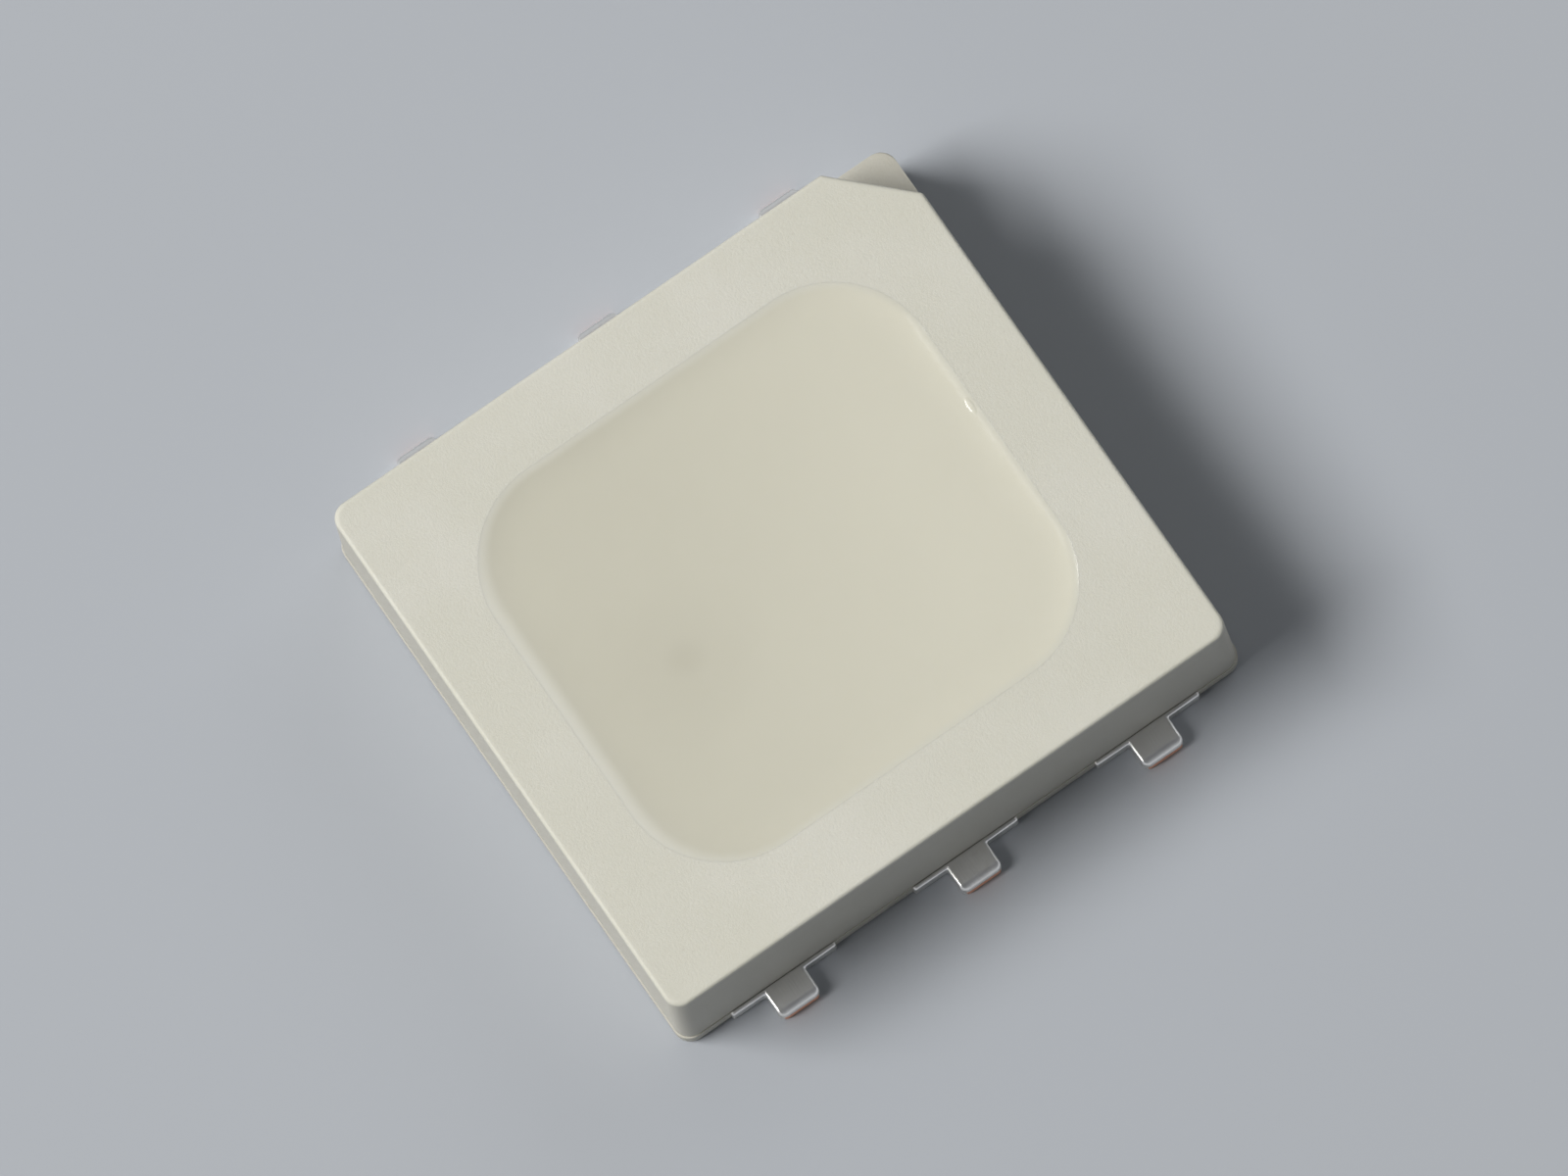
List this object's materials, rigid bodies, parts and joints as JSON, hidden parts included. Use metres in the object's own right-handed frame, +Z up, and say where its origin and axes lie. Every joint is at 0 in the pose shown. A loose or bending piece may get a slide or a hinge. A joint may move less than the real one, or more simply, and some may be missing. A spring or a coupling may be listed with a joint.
{
  "type": "surface-mount led",
  "caption": "Flat surface-mount LED: white moulded housing with a cut corner, a rounded window of milky resin, and solder terminals along two sides.",
  "frame": {"origin": "centre of the component's outline on the circuit board's surface, under the solder faces", "axes": "+Z up out of the window; +Y across the terminal rows, towards the cut corner's row; +X along the terminal rows, towards the cut corner"},
  "size_m": [0.0054, 0.0054, 0.0016],
  "materials": {
    "white_moulding": "off-white high-reflectance moulding, fine matt grain",
    "milky_resin": "cured casting resin with white diffuser, smooth and slightly glossy",
    "silver_plating": "satin silver plating over copper strip, bare copper at the cut ends",
    "red_die": "dark polished semiconductor with a gold contact",
    "sapphire_die": "clear sapphire with two gold contacts",
    "silver_glue": "silver-filled epoxy",
    "clear_glue": "clear silicone",
    "gold_wire": "bright gold"
  },
  "bodies": {
    "root": {"housing": "white_moulding", "diffuser_resin": "milky_resin", "terminal_1": "silver_plating", "terminal_2": "silver_plating", "terminal_3": "silver_plating", "terminal_4": "silver_plating", "terminal_5": "silver_plating", "terminal_6": "silver_plating", "die_red": "red_die", "die_green": "sapphire_die", "die_blue": "sapphire_die", "die_glue_red": "silver_glue", "die_glue_green": "clear_glue", "die_glue_blue": "clear_glue", "bond_wire_red": "gold_wire", "bond_wire_green_out": "gold_wire", "bond_wire_green_back": "gold_wire", "bond_wire_blue_out": "gold_wire", "bond_wire_blue_back": "gold_wire"}
  },
  "joints": []
}
